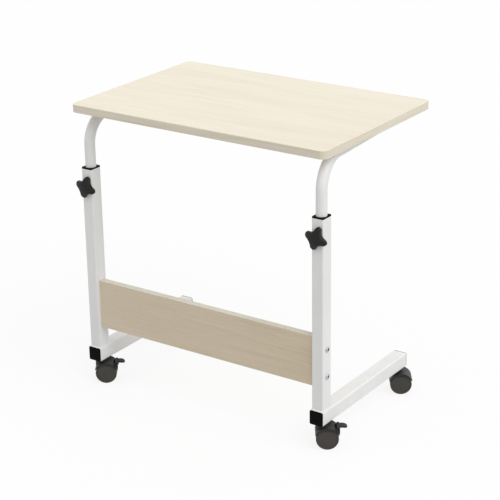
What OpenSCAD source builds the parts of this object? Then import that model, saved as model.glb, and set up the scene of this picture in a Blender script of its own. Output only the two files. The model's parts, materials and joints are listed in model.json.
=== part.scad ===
// Overbed table with a C-shaped frame on castors. Two bent lift tubes carry the
// tabletop, slide in the columns and are held there by clamp knobs.
// Millimetres. +X runs along the long side, -Y is the side of the columns, +Z is up.
// The origin lies on the floor below the middle of the tabletop.

/* [Tabletop] */
// Width of the tabletop along X
top_w = 600; // [520:5:800]
// Depth of the tabletop along Y
top_d = 400; // [330:5:500]
// Thickness of the tabletop
top_t = 16; // [15:1:25]
// Corner radius of the tabletop
top_corner_r = 14; // [6:1:40]
// Thickness of the edge band
edge_band_t = 1; // [0.6:0.1:2]
// Height of the tabletop's upper face as set
table_h = 614; // [600:1:700]
// Height of the tabletop's upper face at its lowest setting
table_h_min = 592; // [567:1:597]

/* [Columns] */
// Distance from the tabletop's side edge to the middle of a column
column_inset = 23.5; // [20:0.5:60]
// Distance from the tabletop's front edge to the columns' front faces
column_setback = 11.5; // [4:0.5:60]
// Depth of a column along Y
column_d = 30; // [28.5:0.5:36]
// Length of a column above the foot
column_len = 395; // [350:5:400]
// Wall of a column
column_wall = 1.5; // [0.8:0.1:1.8]
// Outer corner radius of a column
column_corner_r = 2.5; // [2:0.1:4]

/* [Feet] */
// Side of the square foot tube
foot_s = 30; // [29:0.5:40]
// Length of a foot
foot_len = 327; // [260:1:420]
// Wall of a foot
foot_wall = 1.5; // [1:0.1:2.5]
// Outer corner radius of a foot
foot_corner_r = 3; // [2.6:0.1:5]
// How far a foot reaches in front of its column
foot_lead = 3; // [1:0.5:30]
// Length of the plugs in the foot ends
plug_len = 10.5; // [7:0.5:20]
// Face and skirt thickness of the plugs
plug_wall = 2.2; // [1.2:0.1:4]
// Thickness of the plugs' flange on the end of a foot
plug_flange_t = 1.5; // [0.8:0.1:3]

/* [Lift tubes] */
// Outer diameter of a lift tube
tube_d = 22; // [20:0.5:24]
// Wall of a lift tube
tube_wall = 1.2; // [0.8:0.1:2]
// Bend radius at the tube's middle line
bend_r = 60; // [45:1:75]
// Distance from the tubes' rear ends to the tabletop's rear edge
arm_back = 50; // [20:5:120]
// Turn of the tubes' rear arms towards each other
arm_toe = 4; // [0:0.5:8]
// Screws that hold the tabletop on each tube
arm_screws = 3; // [2:1:5]
// Distance from the outermost screws to the bend and to the cap's spigot
arm_screw_margin = 14; // [8:1:40]
// Height of the glide below a lift tube
glide_h = 14; // [8:1:20]
// Head thickness of the cap in a tube's rear end
cap_head_t = 2.5; // [1.5:0.1:5]
// Length of the spigots on caps and glides
spigot_len = 12; // [6:1:20]

/* [Collars] */
// Thickness of the collar's flange
collar_t = 3; // [1.2:0.1:5]
// Length of the collar's tongues below the knob's axis
tongue_tail = 8; // [7.5:0.5:14]
// Distance of the tongues' edges from the collar's middle plane
tongue_from = 6; // [4:0.5:8]

/* [Panel] */
// Height of the panel
panel_h = 105; // [70:5:130]
// Thickness of the panel
panel_t = 15; // [14:1:20]
// Gap between the feet and the panel's lower edge
panel_rise = 47; // [20:1:70]
// Thickness of the panel's edge bands
panel_band_t = 0.8; // [0.5:0.1:2]
// Distance between the two screws of a column
panel_screw_pitch = 57; // [35:1:62]

/* [Fasteners] */
// Shank diameter of the screws
screw_d = 6; // [5:0.5:6.5]
// Head diameter of the screws
screw_head_d = 12; // [10:0.5:14]
// Head height of the screws
screw_head_h = 3; // [2:0.1:4]
// Radius of the screws' domed heads
screw_dome_r = 11; // [8:0.5:20]
// How far a screw stops short of its insert's end
screw_short = 2; // [0.5:0.5:4]
// Outer diameter of the threaded inserts
insert_d = 10; // [9:0.5:11]
// Length of the threaded inserts
insert_len = 12; // [8:0.5:13]

/* [Clamp knobs] */
// Tip to tip size of a knob
knob_d = 48; // [42:1:56]
// Thickness of a knob in its middle
knob_t = 11; // [10:0.5:16]
// Radius of a lobe's tip
lobe_r = 6.3; // [4.5:0.1:7.5]
// Distance from the knob's middle to its hollows
knob_waist_r = 14.5; // [12.5:0.5:15.5]
// Radius of the knob's domed face
knob_dome_r = 48; // [42:1:120]
// Depth of the hollow in the knob's back
knob_core = 4; // [2:0.5:5]
// Share of the lobes' outline that the hollow takes
knob_core_scale = 0.76; // [0.6:0.01:0.8]
// Diameter of the hub in the knob's back
knob_hub_d = 16; // [13:0.5:18]
// Diameter of the clamp stud
stud_d = 8; // [6:0.5:9]
// Length of the stud inside the knob
stud_grip = 9; // [6:0.5:9]
// Distance from the column's top to the knob's axis
knob_drop = 37; // [24:1:50]
// Turn of the knobs as set, counter-clockwise seen from the front
knob_turn = -17; // [-45:1:45]
// Flange diameter of the clamp nut
nut_flange_d = 16; // [14:0.5:18]
// Flange thickness of the clamp nut
nut_flange_t = 1.5; // [0.8:0.1:3]
// Body diameter of the clamp nut
nut_body_d = 11; // [10.5:0.1:13]
// Gap between the clamp nut and the knob
knob_gap = 1; // [0.5:0.1:4]

/* [Castors] */
// Wheel diameter
wheel_d = 45; // [40:1:50]
// Width of one wheel
wheel_w = 13; // [10:0.5:16]
// Rounding of a wheel's outer edge
wheel_edge_r = 2.2; // [1:0.1:3]
// Width of a wheel's rim
wheel_rim = 4; // [3:0.5:6]
// Radius of a wheel's hub
wheel_hub_r = 5; // [4.5:0.5:7]
// Depth of the dish in a wheel's outer face
wheel_dish = 0.8; // [0.3:0.1:1.2]
// Depth of the hollow in a wheel's inner side
wheel_core = 7; // [3:0.5:7.5]
// Thickness of the web between the wheels
web_t = 11.5; // [11:0.5:18]
// Radius of the web round the axle
web_r = 15; // [12:0.5:17]
// Wall of the hood over the wheels
hood_wall = 1.8; // [1.2:0.1:3]
// Height of the hood's skirt line above the axle
hood_skirt = 8; // [4:0.5:10]
// Thickness of the hood's lips in front of the wheels
lip_t = 1.2; // [0.8:0.1:2]
// How far the lips reach down over the wheels' crowns
lip_cover = 3.5; // [1:0.1:6]
// Radius of the swivel boss
boss_r = 12; // [10:0.5:17]
// Height of the swivel boss above the hood's crown
boss_rise = 2.3; // [2:0.1:8]
// Offset of the axle from the swivel axis
trail = 11; // [9:0.5:16]
// Direction in which the castors trail, from +X towards +Y
castor_turn = 34; // [0:1:359]
// Gap between a stem nut and the plug in the foot end
stem_nut_gap = 0.5; // [0.3:0.1:30]
// Axle diameter
axle_d = 5; // [4:0.5:6]
// Cover of plastic over the axle's ends
axle_cover = 2.5; // [1.5:0.1:3]
// Thread diameter of the castor stem
stem_d = 8; // [6:0.5:10]
// Length of the castor stem past its nut
stem_tail = 1; // [0.5:0.1:6]
// Neck diameter of the castor stem in the hood
neck_d = 7; // [5:0.5:8]
// Length of the castor stem's neck
neck_len = 20; // [14:0.5:20]
// Flange diameter of the castor stem
stem_flange_d = 16; // [13:0.5:20]
// Flange thickness of the castor stem
stem_flange_t = 2.3; // [1.5:0.1:4]
// Height of the stem nut
stem_nut_h = 6.5; // [4:0.5:8]
// Width across corners of the stem nut
stem_nut_d = 15; // [13:0.5:18]

/* [Brake pedals] */
// Width of the pedal
pedal_w = 16; // [16:1:22]
// Length of the pedal from its pin
pedal_len = 18; // [16:1:26]
// Thickness of the pedal's plate
pedal_t = 3.5; // [3:0.1:5]
// Radius of the pedal's arched upper face
pedal_arch_r = 45; // [35:1:60]
// Height of the pedal's crest above its pin
pedal_rise = 3.8; // [3.5:0.1:5]
// Distance from the pin to the pedal's crest
pedal_crest = 7; // [5:1:12]
// Corner radius of the pedal's tip
pedal_corner_r = 7.5; // [3:0.5:8]
// Radius of the pedal's hub
pedal_hub_r = 3.2; // [2.6:0.1:3.6]
// Place of the pedal's pin round the wheel, from the horizontal
pedal_angle = 43; // [40:1:56]
// Angle by which the brake shoe stands back from the wheel when released
shoe_lag = 15; // [8:1:18]
// Radius of the brake shoe's nose
shoe_r = 1.5; // [1.2:0.1:1.8]
// Thickness of the ears that hold the pin
ear_t = 4; // [2:0.1:5]
// Pin diameter
pin_d = 2.5; // [2:0.1:3]

/* [Clearances] */
// Radial clearance of turning and sliding round fits
run_clear = 0.05; // [0.02:0.01:0.1]
// Clearance of pieces that are pushed together
seat_clear = 0.1; // [0.05:0.01:0.2]
// Gap between pieces that pass each other
part_gap = 0.3; // [0.2:0.05:0.5]
// Gap between a wheel and the hood's inner face
hood_gap = 0.8; // [0.6:0.1:1.2]
// Gap between a lowered glide and the panel screw below it
stop_gap = 2; // [1:0.5:4]

/* [Hidden] */
$fn = 72;
eps = 0.01;
cut = 1;

white = "#f1f0ed";
maple = "#eadfc6";
black = "#1b1b1a";
charcoal = "#3a3a38";
wheel_grey = "#5b5751";
zinc = "#b9bcbe";

column_w = tube_d + 2 * part_gap + 2 * column_wall;
column_x = top_w / 2 - column_inset;
column_front_y = -top_d / 2 + column_setback;
column_y = column_front_y + column_d / 2;
column_inner_d = column_d - 2 * column_wall;
column_inner_w = column_w - 2 * column_wall;
column_inner_r = column_corner_r - column_wall;

wheel_r = wheel_d / 2;
hood_r = wheel_r + hood_gap + hood_wall;
boss_top = wheel_d + hood_gap + hood_wall + boss_rise;
castor_h = boss_top + part_gap + stem_flange_t;
castor_w = web_t + 2 * (part_gap + wheel_w);
hood_inner_w = castor_w + 2 * part_gap;
hood_w = hood_inner_w + 2 * lip_t;
axle_len = castor_w - 2 * axle_cover;
neck_low = castor_h - stem_flange_t - neck_len;
boss_low = neck_low - part_gap - hood_wall;
castor_inset = plug_len + stem_nut_d / 2 + stem_nut_gap;

foot_top = castor_h + foot_s;
foot_front_y = column_front_y - foot_lead;
foot_back_y = foot_front_y + foot_len;
foot_inner_s = foot_s - 2 * foot_wall;
foot_inner_r = foot_corner_r - foot_wall;

// A set height below the lowest setting shortens the columns by the difference
column_cut = max(table_h_min - table_h, 0);
column_h = column_len - column_cut;
column_top = foot_top + column_h;
knob_z = column_top - knob_drop;
tongue_len = knob_drop + tongue_tail;

panel_low = foot_top + panel_rise;
panel_mid = panel_low + panel_h / 2;
panel_w = 2 * column_x - column_w - 2 * seat_clear;
panel_end_x = panel_w / 2;
panel_screw_zs = [panel_mid - panel_screw_pitch / 2, panel_mid + panel_screw_pitch / 2];

screw_bite = insert_len - screw_short;

board_w = top_w - 2 * edge_band_t;
board_d = top_d - 2 * edge_band_t;
top_low = table_h - top_t;
arm_z = top_low - seat_clear - tube_d / 2;
bend_z = arm_z - bend_r;
arm_reach = (top_d / 2 - arm_back - column_y) / cos(arm_toe);
glide_low_min = panel_screw_zs[1] + screw_d / 2 + stop_gap;
tube_low = glide_low_min + table_h - table_h_min + column_cut + glide_h;
tube_bore_r = tube_d / 2 - tube_wall;
arm_screw_first = bend_r + arm_screw_margin;
arm_screw_last = arm_reach - spigot_len - arm_screw_margin;
arm_screw_step = (arm_screw_last - arm_screw_first) / (arm_screws - 1);
arm_screw_ys = [for (i = [0 : arm_screws - 1]) arm_screw_first + i * arm_screw_step];
arm_screw_seat = sqrt(pow(tube_bore_r, 2) - pow(screw_head_d / 2, 2)) - seat_clear;

tube_front_y = column_y - tube_d / 2;
stud_tip_y = tube_front_y - part_gap;
nut_back_y = stud_tip_y - part_gap;
knob_back_y = column_front_y - nut_flange_t - knob_gap;

pedal_pin_r = hood_r + pedal_hub_r + hood_gap;
pedal_x = trail + pedal_pin_r * cos(pedal_angle);
pedal_z = wheel_r + pedal_pin_r * sin(pedal_angle);
shoe_reach = pedal_pin_r - wheel_r - shoe_r - part_gap;

sides = [["left", -1], ["right", 1]];
castors = [
    ["front_left", -column_x, foot_front_y + castor_inset, true],
    ["front_right", column_x, foot_front_y + castor_inset, true],
    ["rear_left", -column_x, foot_back_y - castor_inset, false],
    ["rear_right", column_x, foot_back_y - castor_inset, false]
];
wheel_sides = [["outer", -1], ["inner", 1]];
plug_ends = [["front", foot_front_y, 1], ["rear", foot_back_y, -1]];

side_pieces = ["column", "foot", "front_plug", "rear_plug", "collar", "clamp_nut",
    "lift_tube", "tube_cap", "tube_glide", "knob", "knob_stud"];
castor_pieces = ["stem", "hood", "axle", "outer_wheel", "inner_wheel"];
brake_pieces = ["brake_pedal", "brake_pin"];

// A rectangle with round corners, made of squares and circles
module rounded_rect(w, d, r) {
    square([w - 2 * r, d], center = true);
    square([w, d - 2 * r], center = true);
    for (x = [-1, 1], y = [-1, 1])
        translate([x * (w / 2 - r), y * (d / 2 - r)])
            circle(r);
}

// The section of a tube with round corners
module box_section(w, d, r, wall) {
    difference() {
        rounded_rect(w, d, r);
        rounded_rect(w - 2 * wall, d - 2 * wall, r - wall);
    }
}

// An outline in X and Z, extruded along Y about the middle plane
module along_y(w) {
    rotate([90, 0, 0])
        linear_extrude(w, center = true)
            children();
}

// A screw along +Z: domed head below z = 0, shank above it
module screw(shank) {
    cylinder(d = screw_d, h = shank);
    intersection() {
        translate([0, 0, -screw_head_h])
            cylinder(d = screw_head_d, h = screw_head_h);
        translate([0, 0, screw_dome_r - screw_head_h])
            sphere(screw_dome_r);
    }
}

// A threaded insert along +Z
module insert() {
    difference() {
        cylinder(d = insert_d, h = insert_len);
        translate([0, 0, -cut])
            cylinder(d = screw_d + 2 * run_clear, h = insert_len + 2 * cut);
    }
}

// Children in a lift tube's frame, with the arm along +Y at the tube's own turn
module at_tube(s) {
    translate([s * column_x, column_y, 0])
        rotate(s * arm_toe)
            children();
}

// Children at each place where a screw meets the tabletop's underside
module at_top_screws() {
    for (s = sides, y = arm_screw_ys)
        at_tube(s[1])
            translate([0, y, top_low])
                children();
}

// Children at each end of the panel, with +Z pointing into the panel
module at_panel_screws() {
    for (s = sides, z = panel_screw_zs)
        translate([s[1] * panel_end_x, column_y, z])
            rotate([0, -90 * s[1], 0])
                children();
}

module tabletop() {
    color(maple)
        difference() {
            translate([0, 0, top_low])
                linear_extrude(top_t)
                    rounded_rect(board_w, board_d, top_corner_r - edge_band_t);
            at_top_screws()
                translate([0, 0, -cut])
                    cylinder(d = insert_d + 2 * seat_clear, h = insert_len + seat_clear + cut);
        }
}

module edge_band() {
    color(maple)
        translate([0, 0, top_low])
            linear_extrude(top_t)
                box_section(top_w, top_d, top_corner_r, edge_band_t);
}

// Screws whose heads sit inside the tubes, against the upper wall
module top_screws() {
    shank = top_low - arm_z - arm_screw_seat + screw_bite;
    color(zinc)
        at_top_screws()
            translate([0, 0, screw_bite - shank])
                screw(shank);
}

module top_inserts() {
    color(zinc)
        at_top_screws()
            insert();
}

module panel() {
    color(maple)
        difference() {
            translate([0, column_y, panel_mid])
                cube([panel_w, panel_t, panel_h - 2 * panel_band_t], center = true);
            at_panel_screws()
                translate([0, 0, -cut])
                    cylinder(d = insert_d + 2 * seat_clear, h = insert_len + seat_clear + cut);
        }
}

module panel_bands() {
    color(maple)
        for (z = [-1, 1])
            translate([0, column_y, panel_mid + z * (panel_h - panel_band_t) / 2])
                cube([panel_w, panel_t, panel_band_t], center = true);
}

module panel_screws() {
    color(zinc)
        at_panel_screws()
            translate([0, 0, -seat_clear - column_w])
                screw(column_w + seat_clear + screw_bite);
}

module panel_inserts() {
    color(zinc)
        at_panel_screws()
            insert();
}

module column(s) {
    color(white)
        difference() {
            translate([s * column_x, column_y, foot_top])
                linear_extrude(column_h)
                    box_section(column_w, column_d, column_corner_r, column_wall);
            translate([s * column_x, column_front_y, knob_z])
                rotate([90, 0, 0])
                    cylinder(d = nut_body_d + 2 * seat_clear, h = 2 * (column_wall + cut), center = true);
            for (z = panel_screw_zs)
                translate([s * column_x, column_y, z])
                    rotate([0, 90, 0])
                        cylinder(d = screw_d + 2 * seat_clear, h = column_w + 2 * cut, center = true);
        }
}

module foot(s) {
    color(white)
        difference() {
            translate([s * column_x, foot_front_y, castor_h + foot_s / 2])
                rotate([-90, 0, 0])
                    linear_extrude(foot_len)
                        box_section(foot_s, foot_s, foot_corner_r, foot_wall);
            for (y = [foot_front_y + castor_inset, foot_back_y - castor_inset])
                translate([s * column_x, y, castor_h - cut])
                    cylinder(d = stem_d + 2 * seat_clear, h = foot_wall + 2 * cut);
        }
}

// A plug that is pushed into a foot end up to its flange, hollow towards the inside
module foot_plug(s, e) {
    plug_s = foot_inner_s - 2 * seat_clear;
    color(black)
        translate([s * column_x, e[1], castor_h + foot_s / 2])
            rotate([-90 * e[2], 0, 0])
                difference() {
                    union() {
                        translate([0, 0, -plug_flange_t])
                            linear_extrude(plug_flange_t)
                                rounded_rect(foot_s, foot_s, foot_corner_r);
                        translate([0, 0, -eps])
                            linear_extrude(plug_len + eps)
                                rounded_rect(plug_s, plug_s, foot_inner_r);
                    }
                    translate([0, 0, plug_wall])
                        linear_extrude(plug_len)
                            square(plug_s - 2 * plug_wall, center = true);
                }
}

// A flange on the column's top with two tongues that guide the lift tube inside
module collar(s) {
    inner_w = column_inner_w - 2 * seat_clear;
    inner_d = column_inner_d - 2 * seat_clear;
    color(black)
        translate([s * column_x, column_y, column_top])
            difference() {
                union() {
                    linear_extrude(collar_t)
                        rounded_rect(column_w, column_d, column_corner_r);
                    translate([0, 0, -tongue_len])
                        linear_extrude(tongue_len + eps)
                            difference() {
                                rounded_rect(inner_w, inner_d, column_inner_r);
                                square([column_w, 2 * tongue_from], center = true);
                            }
                }
                translate([0, 0, -tongue_len - cut])
                    cylinder(d = tube_d + 2 * run_clear, h = tongue_len + collar_t + 2 * cut);
                translate([0, -column_d / 2, -knob_drop])
                    rotate([90, 0, 0])
                        cylinder(d = nut_body_d + 2 * part_gap, h = column_d / 2, center = true);
            }
}

// The flanged threaded nut in the column's front wall
module clamp_nut(s) {
    body_len = nut_back_y - column_front_y;
    color(zinc)
        translate([s * column_x, nut_back_y, knob_z])
            rotate([90, 0, 0])
                difference() {
                    union() {
                        cylinder(d = nut_body_d, h = body_len + eps);
                        translate([0, 0, body_len])
                            cylinder(d = nut_flange_d, h = nut_flange_t);
                    }
                    translate([0, 0, -cut])
                        cylinder(d = stud_d + 2 * run_clear, h = body_len + nut_flange_t + 2 * cut);
                }
}

// The lift tube's path filled at a radius, run past both ends by an extra length
module tube_path(r, extra) {
    translate([0, 0, tube_low - extra])
        cylinder(r = r, h = bend_z - tube_low + extra);
    translate([0, bend_r, bend_z])
        rotate([90, 0, -90])
            rotate_extrude(angle = 90)
                translate([bend_r, 0])
                    circle(r);
    translate([0, bend_r, arm_z])
        rotate([-90, 0, 0])
            cylinder(r = r, h = arm_reach - bend_r + extra);
}

// A bent tube with screw holes in the arm's upper wall and access holes for the heads below
module lift_tube(s) {
    color(white)
        at_tube(s)
            difference() {
                tube_path(tube_d / 2, 0);
                tube_path(tube_bore_r, cut);
                for (y = arm_screw_ys)
                    translate([0, y, arm_z]) {
                        cylinder(d = screw_d + 2 * seat_clear, h = tube_d / 2 + cut);
                        translate([0, 0, -tube_d / 2 - cut])
                            cylinder(d = screw_head_d + 2 * part_gap, h = tube_d / 2 + cut);
                    }
            }
}

// The round spigot that holds a cap or a glide in a lift tube, along +Z
module tube_spigot() {
    spigot_r = tube_bore_r - seat_clear;
    difference() {
        translate([0, 0, -eps])
            cylinder(r = spigot_r, h = spigot_len + eps);
        cylinder(r = spigot_r - plug_wall, h = spigot_len + cut);
    }
}

module tube_cap(s) {
    color(black)
        at_tube(s)
            translate([0, arm_reach, arm_z])
                rotate([90, 0, 0]) {
                    tube_spigot();
                    translate([0, 0, -cap_head_t])
                        cylinder(d = tube_d, h = cap_head_t);
                }
}

module tube_glide(s) {
    glide_w = column_inner_w - 2 * seat_clear;
    glide_d = column_inner_d - 2 * seat_clear;
    color(black)
        translate([s * column_x, column_y, tube_low]) {
            tube_spigot();
            translate([0, 0, -glide_h])
                linear_extrude(glide_h)
                    rounded_rect(glide_w, glide_d, column_inner_r);
        }
}

// The star outline: round tips joined by round hollows that run tangent into them
module star() {
    tip_at = knob_d / 2 - lobe_r;
    neck = knob_waist_r - lobe_r;
    hollow_at = (tip_at * tip_at - neck * neck) / (sqrt(2) * tip_at - 2 * neck);
    hollow_r = hollow_at - knob_waist_r;
    toward = atan2(hollow_at / sqrt(2), hollow_at / sqrt(2) - tip_at);
    touch = [tip_at + lobe_r * cos(toward), lobe_r * sin(toward)];
    difference() {
        union() {
            polygon([for (a = [0 : 90 : 270]) for (f = [-1, 1])
                [touch[0] * cos(a) - f * touch[1] * sin(a), touch[0] * sin(a) + f * touch[1] * cos(a)]]);
            for (a = [0 : 90 : 270])
                rotate(a)
                    translate([tip_at, 0])
                        circle(lobe_r);
        }
        for (a = [45 : 90 : 315])
            rotate(a)
                translate([hollow_at, 0])
                    circle(hollow_r);
    }
}

// A star knob with a domed face and a hollow back round its hub
module knob(s) {
    color(black)
        translate([s * column_x, knob_back_y, knob_z])
            rotate([90, 0, 0])
                rotate(knob_turn)
                    difference() {
                        union() {
                            difference() {
                                intersection() {
                                    linear_extrude(knob_t)
                                        star();
                                    translate([0, 0, knob_t - knob_dome_r])
                                        sphere(knob_dome_r);
                                }
                                translate([0, 0, -cut])
                                    linear_extrude(knob_core + cut)
                                        scale(knob_core_scale)
                                            star();
                            }
                            cylinder(d = knob_hub_d, h = knob_core + cut);
                        }
                        translate([0, 0, -cut])
                            cylinder(d = stud_d + 2 * run_clear, h = stud_grip + cut);
                    }
}

module knob_stud(s) {
    color(zinc)
        translate([s * column_x, stud_tip_y, knob_z])
            rotate([90, 0, 0])
                cylinder(d = stud_d, h = stud_tip_y - knob_back_y + stud_grip - seat_clear);
}

module at_castor(c) {
    translate([c[1], c[2], 0])
        rotate(castor_turn)
            children();
}

module stem_nuts() {
    color(zinc)
        for (c = castors)
            at_castor(c)
                translate([0, 0, castor_h + foot_wall])
                    difference() {
                        cylinder(d = stem_nut_d, h = stem_nut_h, $fn = 6);
                        translate([0, 0, -cut])
                            cylinder(d = stem_d + 2 * run_clear, h = stem_nut_h + 2 * cut);
                    }
}

// Threaded stem with a flange under the foot and a neck on which the hood turns
module stem(c) {
    color(zinc)
        at_castor(c) {
            translate([0, 0, castor_h - eps])
                cylinder(d = stem_d, h = foot_wall + stem_nut_h + stem_tail);
            translate([0, 0, castor_h - stem_flange_t])
                cylinder(d = stem_flange_d, h = stem_flange_t);
            translate([0, 0, neck_low])
                cylinder(d = neck_d, h = castor_h - stem_flange_t - neck_low + eps);
        }
}

// The two ears that carry the pedal's pin, square down to the hood's skirt line
module ears() {
    ear_r = pedal_hub_r + hood_gap / 2;
    ear_low = wheel_r + hood_skirt;
    for (side = [-1, 1])
        translate([0, side * (pedal_w / 2 + part_gap + ear_t / 2), 0])
            along_y(ear_t) {
                translate([pedal_x, pedal_z])
                    circle(ear_r);
                translate([trail, ear_low])
                    square([pedal_x + ear_r - trail, pedal_z - ear_low]);
            }
}

// What is cut from the hood's end walls, so that only crescents stay as lips over the wheels
module lip_arches() {
    arch_rise = wheel_r - lip_cover - hood_skirt;
    arch_r = (pow(hood_r, 2) + pow(arch_rise, 2)) / (2 * arch_rise);
    for (side = [-1, 1])
        translate([0, side * (hood_inner_w + lip_t + cut) / 2, 0])
            along_y(lip_t + cut)
                translate([trail, wheel_d - lip_cover - arch_r])
                    circle(arch_r);
}

// The window in the hood through which the brake shoe reaches the wheels
module shoe_window() {
    window = 2 * (shoe_reach + shoe_r) * sin(shoe_lag) + 2 * (shoe_r + 2 * part_gap);
    along_y(pedal_w + 2 * part_gap)
        translate([trail, wheel_r])
            rotate(pedal_angle)
                translate([wheel_r - part_gap, -window / 2])
                    square([hood_r, window]);
}

module hood(c) {
    pocket_w = (hood_inner_w - web_t) / 2;
    color(charcoal)
        at_castor(c)
            difference() {
                union() {
                    along_y(hood_w)
                        difference() {
                            translate([trail, wheel_r])
                                circle(hood_r);
                            translate([trail - hood_r - cut, wheel_r - hood_r - cut])
                                square([2 * (hood_r + cut), hood_r + hood_skirt + cut]);
                        }
                    along_y(web_t)
                        translate([trail, wheel_r])
                            circle(web_r);
                    translate([0, 0, boss_low])
                        cylinder(r = boss_r, h = boss_top - boss_low);
                    if (c[3])
                        ears();
                }
                for (side = [-1, 1])
                    translate([trail, side * (web_t + pocket_w) / 2, wheel_r])
                        rotate([90, 0, 0])
                            cylinder(r = wheel_r + hood_gap, h = pocket_w, center = true);
                lip_arches();
                translate([0, 0, neck_low - part_gap])
                    cylinder(d = neck_d + 2 * run_clear, h = castor_h);
                translate([trail, 0, wheel_r])
                    rotate([90, 0, 0])
                        cylinder(d = axle_d + 2 * run_clear, h = castor_w, center = true);
                if (c[3]) {
                    shoe_window();
                    translate([pedal_x, 0, pedal_z])
                        rotate([90, 0, 0])
                            cylinder(d = pin_d + 2 * run_clear, h = castor_w, center = true);
                }
            }
}

module axle(c) {
    color(zinc)
        at_castor(c)
            translate([trail, 0, wheel_r])
                rotate([90, 0, 0])
                    cylinder(d = axle_d, h = axle_len, center = true);
}

// A wheel with a dished outer face, a rounded edge and a hollow inner side
module wheel(c, side) {
    color(wheel_grey)
        at_castor(c)
            translate([trail, side * (web_t / 2 + part_gap), wheel_r])
                rotate([-90 * side, 0, 0])
                    difference() {
                        rotate_extrude()
                            difference() {
                                union() {
                                    square([wheel_r - wheel_edge_r, wheel_w]);
                                    square([wheel_r, wheel_w - wheel_edge_r]);
                                    translate([wheel_r - wheel_edge_r, wheel_w - wheel_edge_r])
                                        intersection() {
                                            circle(wheel_edge_r);
                                            square(wheel_edge_r);
                                        }
                                }
                                translate([wheel_hub_r, -cut])
                                    square([wheel_r - wheel_rim - wheel_hub_r, wheel_core + cut]);
                                translate([-cut, wheel_w - wheel_dish])
                                    square([wheel_r - wheel_rim + cut, wheel_dish + cut]);
                            }
                        translate([0, 0, -cut])
                            cylinder(d = axle_d + 2 * run_clear, h = wheel_w - axle_cover + part_gap + cut);
                    }
}

// An arched foot plate on a hub, with a shoe below the hub that reaches for the wheels
module brake_pedal(c) {
    color(charcoal)
        at_castor(c)
            difference() {
                union() {
                    intersection() {
                        along_y(pedal_w)
                            translate([pedal_x + pedal_crest, pedal_z + pedal_rise - pedal_arch_r])
                                difference() {
                                    circle(pedal_arch_r);
                                    circle(pedal_arch_r - pedal_t);
                                }
                        translate([pedal_x + pedal_len / 2 - pedal_corner_r, 0, pedal_z - pedal_rise])
                            linear_extrude(2 * pedal_rise + cut)
                                rounded_rect(pedal_len + 2 * pedal_corner_r, pedal_w, pedal_corner_r);
                        translate([pedal_x, -pedal_w, 0])
                            cube([2 * pedal_len, 2 * pedal_w, castor_h]);
                    }
                    along_y(pedal_w)
                        translate([pedal_x, pedal_z]) {
                            circle(pedal_hub_r);
                            rotate(pedal_angle + 180 + shoe_lag) {
                                translate([0, -shoe_r])
                                    square([shoe_reach, 2 * shoe_r]);
                                translate([shoe_reach, 0])
                                    circle(shoe_r);
                            }
                        }
                }
                translate([pedal_x, 0, pedal_z])
                    rotate([90, 0, 0])
                        cylinder(d = pin_d + 2 * run_clear, h = castor_w, center = true);
            }
}

module brake_pin(c) {
    color(zinc)
        at_castor(c)
            translate([pedal_x, 0, pedal_z])
                rotate([90, 0, 0])
                    cylinder(d = pin_d, h = pedal_w + 2 * (part_gap + ear_t), center = true);
}

tabletop();
edge_band();
top_screws();
top_inserts();
panel();
panel_bands();
panel_screws();
panel_inserts();
stem_nuts();
for (s = sides) {
    column(s[1]);
    foot(s[1]);
    for (e = plug_ends) {
        foot_plug(s[1], e);
    }
    collar(s[1]);
    clamp_nut(s[1]);
    lift_tube(s[1]);
    tube_cap(s[1]);
    tube_glide(s[1]);
    knob(s[1]);
    knob_stud(s[1]);
}
for (c = castors) {
    stem(c);
    hood(c);
    axle(c);
    for (w = wheel_sides) {
        wheel(c, w[1]);
    }
    if (c[3]) {
        brake_pedal(c);
        brake_pin(c);
    }
}
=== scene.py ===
import json
import math
import bmesh
import bpy
from mathutils import Matrix, Vector


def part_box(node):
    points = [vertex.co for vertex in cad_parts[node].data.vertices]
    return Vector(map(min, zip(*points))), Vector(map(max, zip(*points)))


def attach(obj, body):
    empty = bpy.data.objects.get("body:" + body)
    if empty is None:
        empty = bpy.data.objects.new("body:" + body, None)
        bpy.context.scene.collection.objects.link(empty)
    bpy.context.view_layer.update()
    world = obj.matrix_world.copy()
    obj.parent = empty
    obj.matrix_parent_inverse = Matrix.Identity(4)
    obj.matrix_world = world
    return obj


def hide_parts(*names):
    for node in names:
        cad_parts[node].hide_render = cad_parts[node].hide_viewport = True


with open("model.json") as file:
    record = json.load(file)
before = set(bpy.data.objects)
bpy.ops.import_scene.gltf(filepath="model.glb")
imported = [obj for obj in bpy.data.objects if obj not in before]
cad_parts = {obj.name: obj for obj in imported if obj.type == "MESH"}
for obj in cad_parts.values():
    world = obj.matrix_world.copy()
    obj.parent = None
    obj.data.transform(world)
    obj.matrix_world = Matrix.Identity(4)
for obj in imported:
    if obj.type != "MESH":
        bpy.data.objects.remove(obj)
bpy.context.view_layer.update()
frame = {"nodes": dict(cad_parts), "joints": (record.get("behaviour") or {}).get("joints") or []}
cadNodes = frame["nodes"]
joints = {joint["name"]: joint for joint in frame["joints"]}
sides = ("left", "right")
castors = ("front_left", "front_right", "rear_left", "rear_right")
brakedCastors = ("front_left", "front_right")
wheelSides = ("outer", "inner")
print("frame loaded with", len(cadNodes), "nodes")


# materials: small helpers first, then one function for each finish

def setSockets(owner, node, values):
    for socket, value in values.items():
        if isinstance(value, bpy.types.NodeSocket):
            owner.node_tree.links.new(value, node.inputs[socket])
        else:
            node.inputs[socket].default_value = value


def addNode(owner, kind, values, **settings):
    node = owner.node_tree.nodes.new(kind)
    for name, setting in settings.items():
        setattr(node, name, setting)
    setSockets(owner, node, values)
    return node


def startMaterial(name, values):
    material = bpy.data.materials.new(name)
    material.use_nodes = True
    shader = material.node_tree.nodes["Principled BSDF"]
    setSockets(material, shader, values)
    return material, shader


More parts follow.
